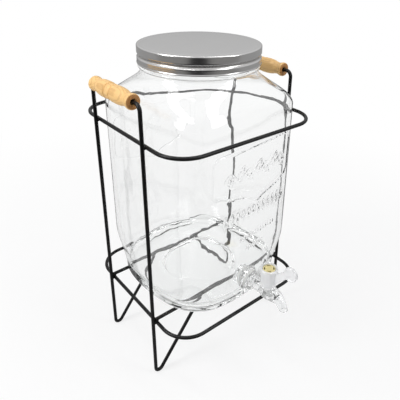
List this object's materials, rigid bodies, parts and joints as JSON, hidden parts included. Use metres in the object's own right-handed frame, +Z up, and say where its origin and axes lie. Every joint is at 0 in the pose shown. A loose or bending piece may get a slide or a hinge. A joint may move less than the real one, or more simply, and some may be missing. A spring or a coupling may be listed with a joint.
{
  "type": "glass beverage dispenser",
  "caption": "Glass drinks dispenser: a square jar with a screw lid and a turning plastic tap, standing in a bent wire stand with turned wooden grips.",
  "frame": {"origin": "on the table under the centre of the object's bounding box", "axes": "+Z up, -Y towards the front, where the tap points; the stand's grips are at -X and +X"},
  "size_m": [0.2388, 0.2749, 0.4085],
  "materials": {
    "black_wire": "satin black coating on welded steel wire",
    "turned_wood": "pale turned wood, clear satin varnish",
    "clear_glass": "clear pressed glass",
    "brushed_lid": "brushed tinplate with a rolled groove",
    "white_liner": "soft white sealing disc",
    "clear_plastic": "clear moulded plastic",
    "yellow_plastic": "pale yellow moulded plastic",
    "soft_seal": "translucent soft rubber"
  },
  "bodies": {
    "stand": {"upper_ring": "black_wire", "lower_ring": "black_wire", "left_side_frame": "black_wire", "right_side_frame": "black_wire", "front_crossbar": "black_wire", "rear_crossbar": "black_wire"},
    "left_grip": {"left_grip": "turned_wood"},
    "right_grip": {"right_grip": "turned_wood"},
    "jar": {"jar_glass": "clear_glass", "tap_body": "clear_plastic", "tap_outer_washer": "soft_seal", "tap_inner_washer": "soft_seal", "tap_nut": "clear_plastic"},
    "lid_disc": {"lid_liner": "white_liner"},
    "lid": {"lid_shell": "brushed_lid"},
    "tap_valve": {"tap_handle": "clear_plastic", "tap_core": "yellow_plastic", "tap_lower_seal": "soft_seal", "tap_upper_seal": "soft_seal"}
  },
  "joints": [
    {"name": "left_grip_spin", "type": "hinge", "parent": "stand", "child": "left_grip", "pos_m": [-0.10982, 0.03244, 0.3685], "axis": [0, 1, 0], "continuous": true},
    {"name": "right_grip_spin", "type": "hinge", "parent": "stand", "child": "right_grip", "pos_m": [0.10982, 0.03244, 0.3685], "axis": [0, 1, 0], "continuous": true},
    {"name": "jar_lift", "type": "slide", "parent": "stand", "child": "jar", "axis": [0, 0, 1], "range_m": [0, 0.183]},
    {"name": "lid_lift", "type": "slide", "parent": "jar", "child": "lid_disc", "axis": [0, 0, 1], "range_m": [0, 0.006]},
    {"name": "lid_turn", "type": "hinge", "parent": "lid_disc", "child": "lid", "pos_m": [0.0029, 0.02894, 0.40855], "axis": [0, 0, 1], "range_deg": [0, 360]},
    {"name": "tap_turn", "type": "hinge", "parent": "jar", "child": "tap_valve", "pos_m": [0.0141, -0.09656, 0.11966], "axis": [0, 0, 1], "range_deg": [-90, 90]}
  ],
  "couplings": [
    {"joint": "lid_lift", "follows": "lid_turn", "m_per_rad": 0.000954}
  ]
}
